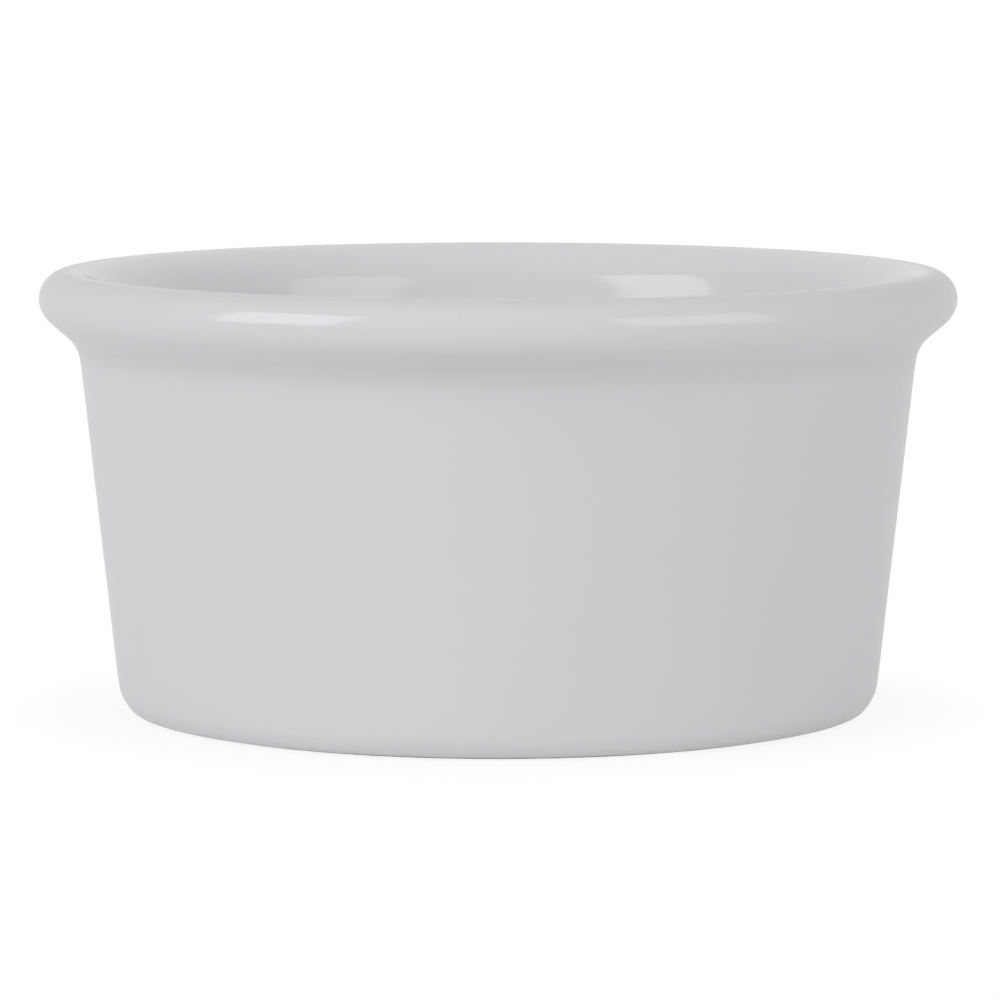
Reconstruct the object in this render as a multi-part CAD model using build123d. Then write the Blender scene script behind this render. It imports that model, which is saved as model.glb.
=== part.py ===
from build123d import *

import os
from math import asin, degrees, radians, sin

# A glazed ceramic ramekin, in millimetres. The origin is at the middle of its foot and +Z points up.
# Every surface is turned round the Z axis, so each solid is one closed outline of radii and heights.

# Outside, over the glaze
rim_diameter = 89.0
height = 42.9
rim_overhang = 3.1      # how far the rim stands out past the wall's slope, at the height of its crest
wall_draft = 6.25       # degrees off upright, the same inside and outside
bead_radius = 2.76      # the rolled edge of the rim
flank_angle = 38.5      # degrees off level of the slope under the rolled edge
groove_radius = 3.36    # the hollow between the rolled edge and the wall

# Inside, over the glaze
wall_thickness = 4.1
floor_thickness = 4.0
floor_corner_radius = 6.0

# Foot
foot_round = 2.8        # the outer edge of the bare clay
ring_width = 3.4        # the flat that the ramekin stands on
ring_edge_radius = 0.5
ring_slope_angle = 60.0     # degrees off level of the ring's inner side
recess_depth = 1.2      # from the table up to the clay under the floor
recess_corner_radius = 1.0

# Glaze
glaze_thickness = 0.3
glaze_line_height = 0.45    # where the outside coat stops, above the table


class Slope:
    """An endless straight line through a point, at an angle in degrees off level."""

    def __init__(self, point, angle):
        self.point = Vector(*point)
        self.run = Vector(1, 0).rotate(Axis.Z, angle)
        self.left = self.run.rotate(Axis.Z, 90)
        self.angle = angle

    def beside(self, distance):
        """The same line moved to its left."""
        return Slope(self.point + self.left * distance, self.angle)

    def meeting(self, other):
        """The point where the two lines cross."""
        along = (other.point - self.point).dot(other.left) / self.run.dot(other.left)
        return self.point + self.run * along


class Bend:
    """A round stretch of an outline about a centre, from one angle to another in degrees."""

    def __init__(self, center, radius, first, last):
        self.center = center
        self.radius = radius
        self.first = first
        self.last = last

    def ends(self):
        arm = Vector(self.radius, 0)
        first_arm = arm.rotate(Axis.Z, self.first)
        last_arm = arm.rotate(Axis.Z, self.last)
        return self.center + first_arm, self.center + last_arm

    def edge(self):
        low, high = sorted((self.first, self.last))
        return CenterArc(self.center, self.radius, low, high - low)

    def backwards(self):
        return Bend(self.center, self.radius, self.last, self.first)


def turned(stops):
    """The solid of a closed outline of points and bends, joined in their order by straight runs."""
    edges = []
    ends = []
    for stop in stops:
        if isinstance(stop, Bend):
            edges.append(stop.edge())
            ends.append(stop.ends())
        else:
            ends.append((Vector(*stop), Vector(*stop)))
    for (_, here), (there, _) in zip(ends, ends[1:] + ends[:1]):
        if here != there:
            edges.append(Line(here, there))
    return revolve(Plane.XZ * make_face(edges), Axis.Z)


def backwards(bends):
    return [bend.backwards() for bend in reversed(bends)]


def level(z):
    return Slope((0, z), 0)


# The wall's outer face, going up. The clay lies on its left.
wall = Slope((rim_diameter / 2 - rim_overhang, height), 90 - wall_draft)

# Rim: the outer bead and the wider inner roll share one crest
crest = Vector(rim_diameter / 2 - bead_radius, height)
bead_center = crest - Vector(0, bead_radius)
crest_to_inside = (wall.beside(wall_thickness).point - crest).dot(wall.left)
roll_radius = crest_to_inside / (1 - sin(radians(wall_draft)))
roll_center = crest - Vector(0, roll_radius)

# Groove: its bend touches the wall and the bead's flank, and its centre lies outside both
flank = Slope(bead_center, flank_angle).beside(-bead_radius)
groove_center = wall.beside(-groove_radius).meeting(flank.beside(-groove_radius))

# Foot: its bend touches the table and, over the glaze, the wall
foot_center = wall.beside(foot_round + glaze_thickness).meeting(level(foot_round))
glaze_line = degrees(asin((glaze_line_height - foot_round) / foot_round))

# Inside corner, between the wall and the floor
floor_top = recess_depth + floor_thickness
corner_center = wall.beside(wall_thickness + floor_corner_radius).meeting(
    level(floor_top + floor_corner_radius)
)

# Underside: the edge of the foot ring, the ring's inner slope, and the corner under the floor
ring_edge_center = Vector(foot_center.X - ring_width, ring_edge_radius)
ring_slope = Slope(ring_edge_center, 180 - ring_slope_angle).beside(ring_edge_radius)
recess_center = ring_slope.beside(recess_corner_radius).meeting(
    level(recess_depth - recess_corner_radius)
)


def upper_bends(inset, foot_angle):
    """The bends from the foot up the wall, over the rim and down to the floor, moved in by inset."""
    wall_side = 180 - wall_draft
    return [
        Bend(foot_center, foot_round + glaze_thickness - inset, foot_angle, -wall_draft),
        Bend(groove_center, groove_radius + inset, wall_side, 90 + flank_angle),
        Bend(bead_center, bead_radius - inset, flank_angle - 90, 90),
        Bend(roll_center, roll_radius - inset, 90, wall_side),
        Bend(corner_center, floor_corner_radius + inset, -wall_draft, -90),
    ]


def recess_corner(inset):
    """The corner of the recess, moved in by inset from the glaze under the floor."""
    radius = recess_corner_radius - glaze_thickness + inset
    return Bend(recess_center, radius, 90 - ring_slope_angle, 90)


def ceramic_body():
    """The fired clay, bare on the foot ring and under the glaze everywhere else."""
    ring_edge = Bend(ring_edge_center, ring_edge_radius, -90, -90 - ring_slope_angle)
    return turned(
        [
            (0, floor_top - glaze_thickness),
            (0, recess_depth),
            *backwards([ring_edge, recess_corner(glaze_thickness)]),
            *upper_bends(glaze_thickness, -90),
        ]
    )


def glaze_coat():
    """The glaze on the outside wall, rim, inside wall and floor, cut square at its lower edge."""
    return turned(
        [
            (0, floor_top),
            (0, floor_top - glaze_thickness),
            *backwards(upper_bends(glaze_thickness, glaze_line)),
            *upper_bends(0, glaze_line),
        ]
    )


def base_glaze():
    """The glaze under the floor, up to the slope of the foot ring."""
    return turned(
        [
            (0, recess_depth),
            (0, recess_depth - glaze_thickness),
            recess_corner(0).backwards(),
            recess_corner(glaze_thickness),
        ]
    )


os.makedirs("parts", exist_ok=True)
for node, make in (
    ("ceramic_body", ceramic_body),
    ("glaze_coat", glaze_coat),
    ("base_glaze", base_glaze),
):
    export_step(make(), f"parts/{node}.step")
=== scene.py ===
from math import asin, atan2, cos, degrees, pi, radians, sin

import bmesh
import bpy
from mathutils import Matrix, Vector, noise


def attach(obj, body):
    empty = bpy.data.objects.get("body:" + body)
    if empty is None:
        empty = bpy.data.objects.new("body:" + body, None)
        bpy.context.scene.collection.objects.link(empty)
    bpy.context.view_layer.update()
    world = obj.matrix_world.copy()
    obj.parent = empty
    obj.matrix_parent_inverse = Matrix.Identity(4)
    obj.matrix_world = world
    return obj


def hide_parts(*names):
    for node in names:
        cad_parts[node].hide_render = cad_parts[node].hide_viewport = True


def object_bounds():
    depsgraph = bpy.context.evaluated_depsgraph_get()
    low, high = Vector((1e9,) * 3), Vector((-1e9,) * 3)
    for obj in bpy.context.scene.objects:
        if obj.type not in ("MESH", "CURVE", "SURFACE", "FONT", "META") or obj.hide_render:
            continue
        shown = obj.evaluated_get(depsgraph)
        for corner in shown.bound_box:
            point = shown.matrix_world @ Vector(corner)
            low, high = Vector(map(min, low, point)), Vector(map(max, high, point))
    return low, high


# A white glazed ramekin in metres, in the frame of its solids. Each visible layer is turned about
# the Z axis from the same outline as its solid, and then gets what the kiln and the hand leave on it.

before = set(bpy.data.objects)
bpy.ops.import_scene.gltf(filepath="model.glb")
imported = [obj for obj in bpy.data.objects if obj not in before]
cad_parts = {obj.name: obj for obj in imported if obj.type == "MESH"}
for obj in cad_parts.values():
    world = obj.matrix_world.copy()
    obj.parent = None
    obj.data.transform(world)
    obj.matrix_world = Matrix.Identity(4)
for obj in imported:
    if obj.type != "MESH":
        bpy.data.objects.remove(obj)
cad_low, cad_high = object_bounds()

MM = 0.001

# Sizes that the frame gives
rim_radius = (cad_high.x - cad_low.x) / 2
height = cad_high.z
bearing_height = cad_low.z

# Sizes of the outline, over the glaze, with angles in degrees
rim_overhang = 3.1 * MM
wall_draft = 6.25
bead_radius = 2.76 * MM
flank_angle = 38.5
groove_radius = 3.36 * MM
wall_thickness = 4.1 * MM
floor_thickness = 4.0 * MM
floor_corner_radius = 6.0 * MM
foot_round = 2.8 * MM
ring_width = 3.4 * MM
ring_edge_radius = 0.5 * MM
ring_slope_angle = 60.0
recess_depth = 1.2 * MM
recess_corner_radius = 1.0 * MM
glaze_thickness = 0.3 * MM
glaze_line_height = 0.45 * MM

# What firing leaves on the ware: a slow waver, ripples, and glaze that is deeper in hollows
waver_length = 30 * MM
waver_depth = 0.05 * MM
ripple_length = 6 * MM
ripple_depth = 0.012 * MM
small_ripple_length = 2.2 * MM
small_ripple_depth = 0.004 * MM
pool_reach = 2.5 * MM
pool_gain = 0.25 * MM * MM  # depth for each 1/m that the outline is hollow
pool_limit = 0.08 * MM
lip_reach = 1.5 * MM        # how far from its edge a coat of glaze comes up to its full relief

# What wiping and standing leave on the bare foot
wipe_length = 0.6 * MM
wipe_depth = 0.012 * MM
grit_length = 1.5 * MM
grit_depth = 0.02 * MM

# How finely the surfaces are drawn
segments = 360
fine_step = 0.7 * MM
coarse_step = 3.0 * MM
ring_step = 0.3 * MM
fine_turn = 6.0
coarse_turn = 18.0
lip_points = 5
sharp_angle = 40.0
same_place = 0.0001 * MM    # points this close are one, and this close to the axis is on it

# Colours of the glaze, linear. The shares are of its greatest depth.
glaze_white = (0.74, 0.74, 0.75, 1)
glaze_cloud = (0.73, 0.73, 0.74, 1)
# Painted light: the inside is coloured paler than the outside so that it looks more brightly lit.
glaze_inside_painted_light = (0.815, 0.812, 0.824, 1)
glaze_thin = (0.742, 0.74, 0.745, 1)
# Darker where the glaze pools in hollows: partly the deeper glaze, partly painted shade in the groove and
# corners.
glaze_pooled_painted_shade = (0.695, 0.695, 0.69, 1)
thin_share = 0.45
pooled_share = 0.55

# Gloss of the glaze. It mirrors less at a glancing angle, and inside the rim that starts later.
glaze_roughness = (0.11, 0.15)
glaze_ior = 1.55
plain_mirroring = 0.5
glancing_start = 0.2
inner_glancing_start = 0.66
glancing_power = 2.4
# Across this band the painted light inside fades in.
inside_reach = 2.0 * MM     # the band on the crest where the outside's look turns into the inside's

# Colours of the bare clay, linear, and its matte surface
clay_pale = (0.76, 0.75, 0.72, 1)
clay_warm = (0.72, 0.7, 0.66, 1)
clay_grain = (0.58, 0.56, 0.52, 1)
clay_rubbed = (0.6, 0.59, 0.58, 1)
grain_share = 0.35
rubbed_share = 0.35
rubbed_height = 0.12 * MM
clay_roughness = (0.6, 0.85)

# Patterns in the materials: the size of their spots, and how much finer detail is in them
cloud_pattern = (22 * MM, 2.0)
smear_pattern = (9 * MM, 3.0)
dimple_pattern = (1.8 * MM, 1.0)
skin_pattern = (0.5 * MM, 2.0)
patch_pattern = (6 * MM, 3.0)
grain_pattern = (0.4 * MM, 4.0)
dimple_depth = 0.012 * MM
skin_depth = 0.0015 * MM
grain_depth = 0.05 * MM
usual_values = (0.3, 0.7)       # where most values of a pattern lie
grain_values = (0.35, 0.65)

# The studio: even light from all round, a broad window above the camera, and two lamps
even_strength = 0.345
window_strength = 0.3
window_elevation = 60
floor_radius = 3.0
floor_sides = 64
floor_white = (0.985, 0.985, 0.985, 1)
shadow_share = 0.11
shadow_fade = (37 * MM, 50 * MM)
lamp_distance = 0.7
lamp_color = (1.0, 0.984, 1.01)
lamps = {
    "left_softbox": {"azimuth": -56, "elevation": 24.5, "width": 0.41, "tall": 0.44, "radiance": 2.25},
    "right_softbox": {"azimuth": 51, "elevation": 22.5, "width": 0.48, "tall": 0.4, "radiance": 1.22},
}

# The camera, fitted to the outline in the photograph
frame_pixels = 1000
axis_column = 498.2
focal_pixels = 5653
sensor_width = 36.0
camera_distance = 547.3 * MM
camera_height = 78.8 * MM
aim_height = 20.27 * MM


def unit(angle):
    return Vector((cos(radians(angle)), sin(radians(angle))))


class Slope:
    """An endless straight line through a point, at an angle in degrees off level."""

    def __init__(self, point, angle):
        self.point = Vector(point)
        self.run = unit(angle)
        self.left = unit(angle + 90)
        self.angle = angle

    def beside(self, distance):
        """The same line moved to its left."""
        return Slope(self.point + self.left * distance, self.angle)

    def meeting(self, other):
        """The point where the two lines cross."""
        along = (other.point - self.point).dot(other.left) / self.run.dot(other.left)
        return self.point + self.run * along


class Bend:
    """A round stretch of an outline about a centre, from one angle to another in degrees."""

    def __init__(self, center, radius, first, last):
        self.center = center
        self.radius = radius
        self.first = first
        self.last = last

    def backwards(self):
        return Bend(self.center, self.radius, self.last, self.first)

    def points(self, turn):
        count = max(2, round(abs(self.last - self.first) / turn))
        angles = [self.first + (self.last - self.first) * i / count for i in range(count + 1)]
        return [self.center + unit(angle) * self.radius for angle in angles]


def backwards(bends):
    return [bend.backwards() for bend in reversed(bends)]


def level(z):
    return Slope((0, z), 0)


# The wall's outer face, going up. The clay lies on its left.
wall = Slope((rim_radius - rim_overhang, height), 90 - wall_draft)

# Rim: the outer bead and the wider inner roll share one crest
crest = Vector((rim_radius - bead_radius, height))
bead_center = crest - Vector((0, bead_radius))
crest_to_inside = (wall.beside(wall_thickness).point - crest).dot(wall.left)
roll_radius = crest_to_inside / (1 - sin(radians(wall_draft)))
roll_center = crest - Vector((0, roll_radius))

# Groove: its bend touches the wall and the bead's flank
flank = Slope(bead_center, flank_angle).beside(-bead_radius)
groove_center = wall.beside(-groove_radius).meeting(flank.beside(-groove_radius))

# Foot: the clay's bend touches the table, and the glaze's bend over it runs into the wall
foot_center = wall.beside(foot_round + glaze_thickness).meeting(level(foot_round))
glaze_line = degrees(asin((glaze_line_height - foot_round) / foot_round))

# Inside corner, between the wall and the floor
floor_top = recess_depth + floor_thickness
corner_center = wall.beside(wall_thickness + floor_corner_radius).meeting(
    level(floor_top + floor_corner_radius)
)

# Underside: the edge of the foot ring, the ring's inner slope, and the corner under the floor
ring_edge_center = Vector((foot_center.x - ring_width, ring_edge_radius))
ring_slope = Slope(ring_edge_center, 180 - ring_slope_angle).beside(ring_edge_radius)
recess_center = ring_slope.beside(recess_corner_radius).meeting(
    level(recess_depth - recess_corner_radius)
)


def upper_bends(inset, foot_angle):
    """The bends from the foot up the wall, over the rim and down to the floor, moved in by inset."""
    wall_side = 180 - wall_draft
    return [
        Bend(foot_center, foot_round + glaze_thickness - inset, foot_angle, -wall_draft),
        Bend(groove_center, groove_radius + inset, wall_side, 90 + flank_angle),
        Bend(bead_center, bead_radius - inset, flank_angle - 90, 90),
        Bend(roll_center, roll_radius - inset, 90, wall_side),
        Bend(corner_center, floor_corner_radius + inset, -wall_draft, -90),
    ]


def recess_corner(inset, first=90 - ring_slope_angle):
    """The corner of the recess, moved in by inset from the glaze under the floor."""
    radius = recess_corner_radius - glaze_thickness + inset
    return Bend(recess_center, radius, first, 90)


def drawn(stops, step, turn):
    """The points of an outline through bends and points, with its straight runs cut into steps."""
    corners = []
    for stop in stops:
        if isinstance(stop, Bend):
            corners.extend(stop.points(turn))
        else:
            corners.append(Vector(stop))
    points = [corners[0]]
    for corner in corners[1:]:
        start = points[-1]
        length = (corner - start).length
        if length < same_place:
            continue
        count = max(1, round(length / step))
        points.extend(start.lerp(corner, i / count) for i in range(1, count + 1))
    return points


def eased(share):
    """A smooth step from 0 to 1."""
    share = min(1.0, max(0.0, share))
    return share * share * (3 - 2 * share)


class Outline:
    """Points from axis to axis, each with its outward normal and its distance along the outline."""

    def __init__(self, points):
        self.points = points
        self.along = [0.0]
        for here, there in zip(points, points[1:]):
            self.along.append(self.along[-1] + (there - here).length)
        last = len(points) - 1
        self.normals = []
        for i in range(len(points)):
            run = (points[min(i + 1, last)] - points[max(i - 1, 0)]).normalized()
            self.normals.append(Vector((run.y, -run.x)))

    def hollows(self, reach):
        """How hollow the outline is at each point, in 1/m averaged over a reach; a ridge is negative."""
        last = len(self.points) - 1
        turns = [0.0]
        for i in range(1, last):
            before = self.points[i] - self.points[i - 1]
            after = self.points[i + 1] - self.points[i]
            turns.append(atan2(after.cross(before), after.dot(before)))
        turns.append(0.0)
        sums = []
        for s in self.along:
            near = [t for t, other in zip(turns, self.along) if abs(other - s) < reach / 2]
            sums.append(sum(near) / reach)
        return sums


def waver(x, y, z):
    """How far the ware itself leans out of round, the same for every layer."""
    slow = Vector((x, y, z)) / waver_length
    return waver_depth * noise.noise(slow)


def ripples(place):
    """The faint waves of a fired glaze, in metres."""
    long_wave = noise.noise(place / ripple_length)
    short_wave = noise.noise(place / small_ripple_length)
    return ripple_depth * long_wave + small_ripple_depth * short_wave


def turned(name, outline, relief, material):
    """A closed mesh of an outline turned about the Z axis, with relief(i, position) along its normals."""
    work = bmesh.new()
    rings = []
    for i, (point, normal) in enumerate(zip(outline.points, outline.normals)):
        if point.x < same_place:
            rings.append([work.verts.new((0, 0, point.y))])
            continue
        ring = []
        for j in range(segments):
            turn = 2 * pi * j / segments
            ahead = Vector((cos(turn), sin(turn), 0))
            place = ahead * point.x + Vector((0, 0, point.y))
            out = ahead * normal.x + Vector((0, 0, normal.y))
            place += out * relief(i, place) + ahead * waver(*place)
            ring.append(work.verts.new(place))
        rings.append(ring)
    for low, high in zip(rings, rings[1:]):
        for j in range(segments):
            k = (j + 1) % segments
            if len(low) == 1:
                work.faces.new((low[0], high[j], high[k]))
            elif len(high) == 1:
                work.faces.new((low[j], high[0], low[k]))
            else:
                work.faces.new((low[j], high[j], high[k], low[k]))
    bmesh.ops.recalc_face_normals(work, faces=work.faces)
    mesh = bpy.data.meshes.new(name)
    work.to_mesh(mesh)
    work.free()
    mesh.shade_smooth()
    mesh.set_sharp_from_angle(angle=radians(sharp_angle))
    mesh.materials.append(material)
    piece = bpy.data.objects.new(name, mesh)
    bpy.context.scene.collection.objects.link(piece)
    return piece


def store(piece, name, points, values):
    """Keep one value for each ring of a turned piece as an attribute."""
    spread = []
    for point, value in zip(points, values):
        spread.extend([value] * (1 if point.x < same_place else segments))
    piece.data.attributes.new(name, "FLOAT", "POINT").data.foreach_set("value", spread)


def glaze_piece(name, hidden, lip, face, material):
    """A coat of glaze: hidden lies on the clay, lip is its rounded edge and face is what shows."""
    face_first = face[0].x < same_place
    parts = [face, lip[::-1], hidden] if face_first else [hidden, lip, face]
    points = []
    for part in parts:
        points.extend(p for p in part if not points or (p - points[-1]).length > same_place)
    outline = Outline(points)
    hollows = outline.hollows(pool_reach)
    edge = min(range(len(points)), key=lambda i: (points[i] - lip[0]).length)
    shares = []
    for i in range(len(points)):
        shows = i <= edge if face_first else i >= edge
        beyond_edge = abs(outline.along[i] - outline.along[edge])
        shares.append(eased(beyond_edge / lip_reach) if shows else 0.0)
    pools = [max(-pool_limit, min(pool_limit, pool_gain * hollow)) for hollow in hollows]

    def relief(i, place):
        return shares[i] * (pools[i] + ripples(place))

    piece = turned(name, outline, relief, material)
    depths = [share * (0.5 + 0.5 * pool / pool_limit) for share, pool in zip(shares, pools)]
    store(piece, "glaze_depth", points, depths)
    top = max(range(len(points)), key=lambda i: points[i].y)
    beyond_crest = [s - outline.along[top] for s in outline.along]
    # Where the inside begins: the material paints it paler there as painted light, and starts its
    # glancing later.
    store(piece, "glaze_inside_painted_light", points, [eased(s / inside_reach + 0.5) for s in beyond_crest])
    return piece


def rounded_end(center, radius, growth, edge):
    """The quarter round in which a coat of glaze ends on a bend of the clay, starting on the clay."""
    points = []
    for i in range(lip_points + 1):
        turn = radians(90) * i / lip_points
        angle = edge + degrees(abs(growth) * (1 - cos(turn)) / radius)
        points.append(center + unit(angle) * (radius + growth * sin(turn)))
    return points


def coat(material):
    """The glaze on the outside wall, the rim and the inside."""
    lip = rounded_end(foot_center, foot_round, glaze_thickness, glaze_line)
    face_start = glaze_line + degrees(glaze_thickness / foot_round)
    on_clay = backwards(upper_bends(glaze_thickness, glaze_line))
    hidden = drawn([(0, floor_top - glaze_thickness), *on_clay], coarse_step, coarse_turn)
    face = drawn([*upper_bends(0, face_start), (0, floor_top)], fine_step, fine_turn)
    return glaze_piece("glazed_surface", hidden, lip, face, material)


def underside(material):
    """The glaze under the floor, inside the foot ring."""
    first = 90 - ring_slope_angle
    lip = rounded_end(recess_center, recess_corner_radius, -glaze_thickness, first)
    face_start = first + degrees(glaze_thickness / recess_corner_radius)
    showing = recess_corner(0, face_start).backwards()
    face = drawn([(0, recess_depth - glaze_thickness), showing], fine_step, fine_turn)
    hidden = drawn([recess_corner(glaze_thickness), (0, recess_depth)], coarse_step, coarse_turn)
    return glaze_piece("underside_glaze", hidden, lip, face, material)


def clay(material):
    """The fired clay. Only its foot ring shows, wiped round and left a little uneven."""
    ring_edge = Bend(ring_edge_center, ring_edge_radius, -90, -90 - ring_slope_angle)
    foot, *rest = upper_bends(glaze_thickness, -90)
    ring = [recess_corner(glaze_thickness).backwards(), ring_edge.backwards(), foot]
    bare = drawn(ring, ring_step, fine_turn)
    under_glaze = drawn([bare[-1], *rest], coarse_step, coarse_turn)
    bottom = Vector((0, recess_depth))
    top = Vector((0, floor_top - glaze_thickness))
    outline = Outline([bottom, *bare, *under_glaze[1:], top])
    outer = foot_center.x + foot_round
    inner = ring_edge_center.x - ring_edge_radius

    def relief(i, place):
        radius = place.to_2d().length
        if place.z > foot_round or not inner < radius < outer:
            return 0.0
        shows = eased(1 - place.z / foot_round)
        wipe = wipe_depth * (1 + noise.noise(Vector((radius, 0, 0)) / wipe_length))
        grit = grit_depth * (1 + noise.noise(place / grit_length))
        return -shows * (wipe + grit) / 2

    return turned("fired_clay", outline, relief, material)


class Nodes:
    """Adds nodes to one node tree and links them."""

    def __init__(self, tree):
        self.tree = tree

    def add(self, kind, settings=None, **inputs):
        made = self.tree.nodes.new(kind)
        for key, value in (settings or {}).items():
            setattr(made, key, value)
        for key, value in inputs.items():
            self.feed(made, key, value)
        return made

    def feed(self, made, key, value):
        """Set an input, by its name or its place, to a value or to another node's output."""
        if isinstance(value, bpy.types.NodeSocket):
            self.tree.links.new(value, made.inputs[key])
        else:
            made.inputs[key].default_value = value

    def attribute(self, name):
        return self.add("ShaderNodeAttribute", {"attribute_name": name}).outputs["Fac"]

    def pattern(self, where, size, detail):
        made = self.add("ShaderNodeTexNoise", Vector=where, Scale=1 / size, Detail=detail)
        return made.outputs["Fac"]

    def math(self, operation, one, other):
        made = self.add("ShaderNodeMath", {"operation": operation})
        self.feed(made, 0, one)
        self.feed(made, 1, other)
        return made.outputs["Value"]

    def spread(self, value, low, high, to_low, to_high, kind="LINEAR"):
        made = self.add("ShaderNodeMapRange", {"interpolation_type": kind}, Value=value)
        self.feed(made, "From Min", low)
        self.feed(made, "From Max", high)
        self.feed(made, "To Min", to_low)
        self.feed(made, "To Max", to_high)
        return made.outputs["Result"]

    def mix(self, share, one, other):
        """A colour between two colours."""
        made = self.add("ShaderNodeMix", {"data_type": "RGBA"}, Factor=share)
        colors = [socket for socket in made.inputs if socket.type == "RGBA"]
        for socket, value in zip(colors, (one, other)):
            if isinstance(value, bpy.types.NodeSocket):
                self.tree.links.new(value, socket)
            else:
                socket.default_value = value
        return next(socket for socket in made.outputs if socket.type == "RGBA")

    def bump(self, height, distance, **normal):
        return self.add("ShaderNodeBump", Distance=distance, Height=height, **normal).outputs["Normal"]


def glaze_material():
    """White opaque glaze, faintly dimpled. The inside is painted paler as painted light; where the glaze
    pools it is darker, partly from its depth and partly as painted shade.
    """
    material = bpy.data.materials.new("white_glaze")
    material.use_nodes = True
    nodes = Nodes(material.node_tree)
    shader = material.node_tree.nodes["Principled BSDF"]
    where = nodes.add("ShaderNodeTexCoord").outputs["Object"]
    depth = nodes.attribute("glaze_depth")
    inside = nodes.attribute("glaze_inside_painted_light")

    cloud = nodes.spread(nodes.pattern(where, *cloud_pattern), *usual_values, 0.0, 1.0)
    thin = nodes.spread(depth, 0.0, thin_share, 1.0, 0.0)
    pooled_painted_shade = nodes.spread(depth, pooled_share, 1.0, 0.0, 1.0)
    color = nodes.mix(cloud, glaze_white, glaze_cloud)
    # Painted light: the inside is coloured paler.
    color = nodes.mix(inside, color, glaze_inside_painted_light)
    color = nodes.mix(thin, color, glaze_thin)
    # Darker where the glaze pools: partly deeper glaze, partly painted shade in hollows.
    color = nodes.mix(pooled_painted_shade, color, glaze_pooled_painted_shade)

    smears = nodes.pattern(where, *smear_pattern)
    dimples = nodes.bump(nodes.pattern(where, *dimple_pattern), dimple_depth)
    skin = nodes.bump(nodes.pattern(where, *skin_pattern), skin_depth, Normal=dimples)

    slant = nodes.add("ShaderNodeLayerWeight").outputs["Facing"]
    start = nodes.spread(inside, 0.0, 1.0, glancing_start, inner_glancing_start)
    root = plain_mirroring ** (1 / glancing_power)
    fading = nodes.spread(slant, start, 1.0, root, 0.0)

    nodes.feed(shader, "Base Color", color)
    nodes.feed(shader, "Roughness", nodes.spread(smears, *usual_values, *glaze_roughness))
    nodes.feed(shader, "Normal", skin)
    nodes.feed(shader, "IOR", glaze_ior)
    nodes.feed(shader, "Specular IOR Level", nodes.math("POWER", fading, glancing_power))
    return material


def clay_material():
    """Bare fired clay: matte, fine-grained and off-white, greyer where it has rubbed on shelves."""
    material = bpy.data.materials.new("bare_ceramic")
    material.use_nodes = True
    nodes = Nodes(material.node_tree)
    shader = material.node_tree.nodes["Principled BSDF"]
    where = nodes.add("ShaderNodeTexCoord").outputs["Object"]
    height_up = nodes.add("ShaderNodeSeparateXYZ", Vector=where).outputs["Z"]
    grain = nodes.pattern(where, *grain_pattern)
    patches = nodes.pattern(where, *patch_pattern)

    warm = nodes.spread(patches, *usual_values, 0.0, 1.0)
    dark = nodes.spread(grain, *grain_values, grain_share, 0.0)
    rubbed = nodes.spread(height_up, 0.0, rubbed_height, rubbed_share, 0.0)
    color = nodes.mix(warm, clay_pale, clay_warm)
    color = nodes.mix(dark, color, clay_grain)
    color = nodes.mix(rubbed, color, clay_rubbed)

    nodes.feed(shader, "Base Color", color)
    nodes.feed(shader, "Roughness", nodes.spread(grain, *usual_values, *clay_roughness))
    nodes.feed(shader, "Normal", nodes.bump(grain, grain_depth))
    return material


def backdrop_share(nodes):
    """1 for rays that show the background itself, seen straight or in a gloss, and 0 for light."""
    path = nodes.add("ShaderNodeLightPath")
    share = path.outputs["Is Camera Ray"]
    for name in ("Is Glossy Ray", "Is Transmission Ray"):
        share = nodes.math("MAXIMUM", share, path.outputs[name])
    return share


def make_world():
    """Soft white light from all round, behind a background of plain white."""
    world = bpy.data.worlds.new("studio")
    bpy.context.scene.world = world
    world.use_nodes = True
    nodes = Nodes(world.node_tree)
    background = world.node_tree.nodes["Background"]
    lift = radians(window_elevation)
    window = (0, -cos(lift), sin(lift))
    facing = nodes.add("ShaderNodeVectorMath", {"operation": "DOT_PRODUCT"})
    nodes.feed(facing, 0, nodes.add("ShaderNodeTexCoord").outputs["Generated"])
    nodes.feed(facing, 1, window)
    toward_window = facing.outputs["Value"]
    brightest = even_strength + window_strength
    light = nodes.spread(toward_window, 0.0, 1.0, even_strength, brightest, "SMOOTHSTEP")
    nodes.feed(background, "Color", (1, 1, 1, 1))
    nodes.feed(background, "Strength", nodes.spread(backdrop_share(nodes), 0.0, 1.0, light, 1.0))


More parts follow.
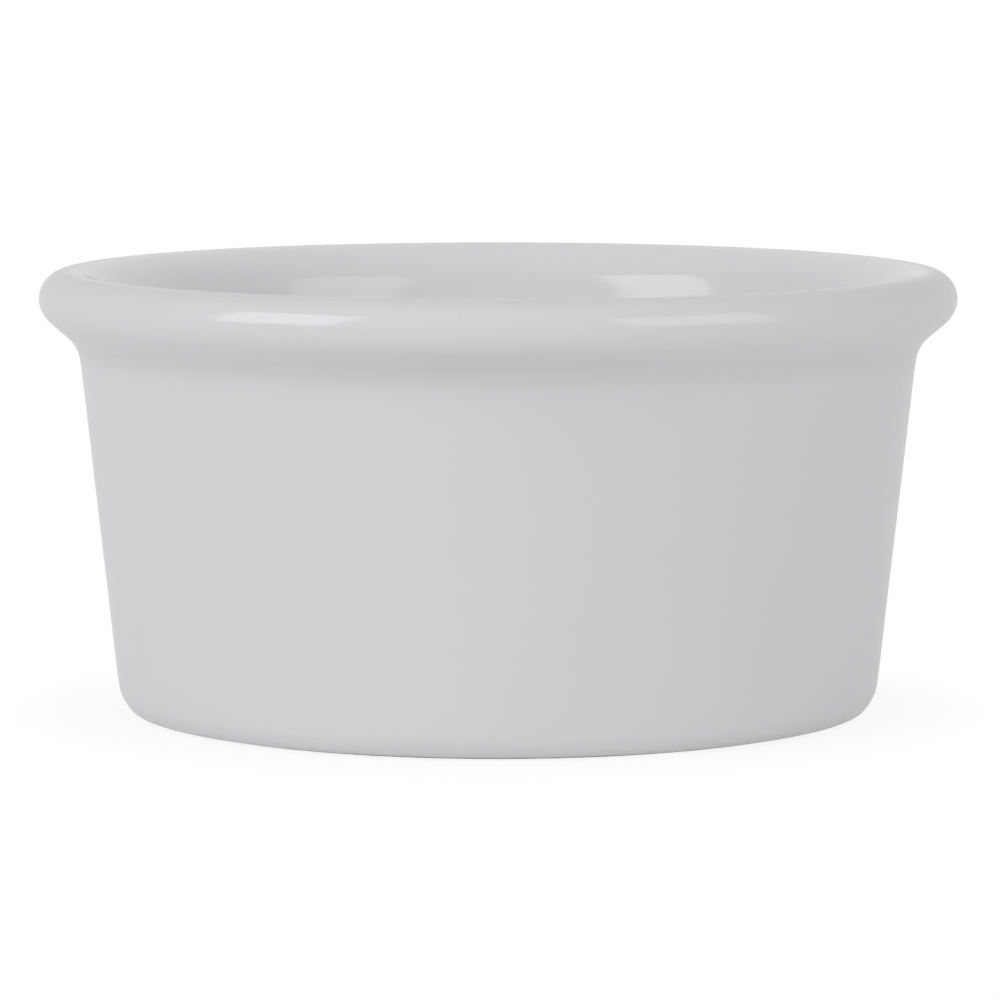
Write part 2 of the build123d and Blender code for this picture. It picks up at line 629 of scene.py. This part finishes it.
def make_floor():
    """A white floor that keeps a faint part of the ramekin's shadow near its foot."""
    bpy.ops.mesh.primitive_circle_add(
        vertices=floor_sides, radius=floor_radius, fill_type="NGON", location=(0, 0, bearing_height)
    )
    floor = bpy.context.object
    floor.name = "floor"
    material = bpy.data.materials.new("floor_white")
    material.use_nodes = True
    material.node_tree.nodes.clear()
    nodes = Nodes(material.node_tree)
    lit = nodes.add("ShaderNodeBsdfDiffuse", Color=floor_white)
    plain = nodes.add("ShaderNodeEmission")
    away = nodes.add("ShaderNodeVectorMath", {"operation": "LENGTH"})
    nodes.feed(away, 0, nodes.add("ShaderNodeTexCoord").outputs["Object"])
    distance = away.outputs["Value"]
    white = nodes.spread(distance, *shadow_fade, 1 - shadow_share, 1.0, "SMOOTHSTEP")
    surface = nodes.add("ShaderNodeMixShader")
    nodes.feed(surface, 0, nodes.math("MULTIPLY", backdrop_share(nodes), white))
    nodes.feed(surface, 1, lit.outputs["BSDF"])
    nodes.feed(surface, 2, plain.outputs["Emission"])
    nodes.add("ShaderNodeOutputMaterial", Surface=surface.outputs["Shader"])
    floor.data.materials.append(material)


def softbox(name, azimuth, elevation, width, tall, radiance):
    """A soft lamp that faces the ramekin; azimuth 0 is the camera's side and grows to the right."""
    data = bpy.data.lights.new(name, "AREA")
    data.shape = "RECTANGLE"
    data.size = width
    data.size_y = tall
    data.energy = radiance * pi * width * tall
    data.color = lamp_color
    lamp = bpy.data.objects.new(name, data)
    turn = radians(azimuth)
    lift = radians(elevation)
    ahead = Vector((sin(turn) * cos(lift), -cos(turn) * cos(lift), sin(lift)))
    target = Vector((0, 0, height))
    lamp.location = target + ahead * lamp_distance
    lamp.rotation_euler = (-ahead).to_track_quat("-Z", "Y").to_euler()
    bpy.context.scene.collection.objects.link(lamp)


def make_camera():
    """A long lens a little above the rim, as in the photograph."""
    data = bpy.data.cameras.new("camera")
    data.sensor_width = sensor_width
    data.lens = sensor_width * focal_pixels / frame_pixels
    camera = bpy.data.objects.new("camera", data)
    aside = (frame_pixels / 2 - axis_column) / focal_pixels * camera_distance
    camera.location = (aside, -camera_distance, camera_height)
    aim = Vector((aside, 0, aim_height)) - camera.location
    camera.rotation_euler = aim.to_track_quat("-Z", "Y").to_euler()
    bpy.context.scene.collection.objects.link(camera)
    bpy.context.scene.camera = camera


make_camera()

glaze = glaze_material()
bare = clay_material()
for piece, node, slot_name in (
    (clay(bare), "ceramic_body", "bare_ceramic"),
    (coat(glaze), "glaze_coat", "white_glaze"),
    (underside(glaze), "base_glaze", "white_glaze"),
):
    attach(piece, "root")
    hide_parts(node)

make_floor()
make_world()
for name, values in lamps.items():
    softbox(name, **values)

bpy.context.scene.view_settings.view_transform = "Standard"
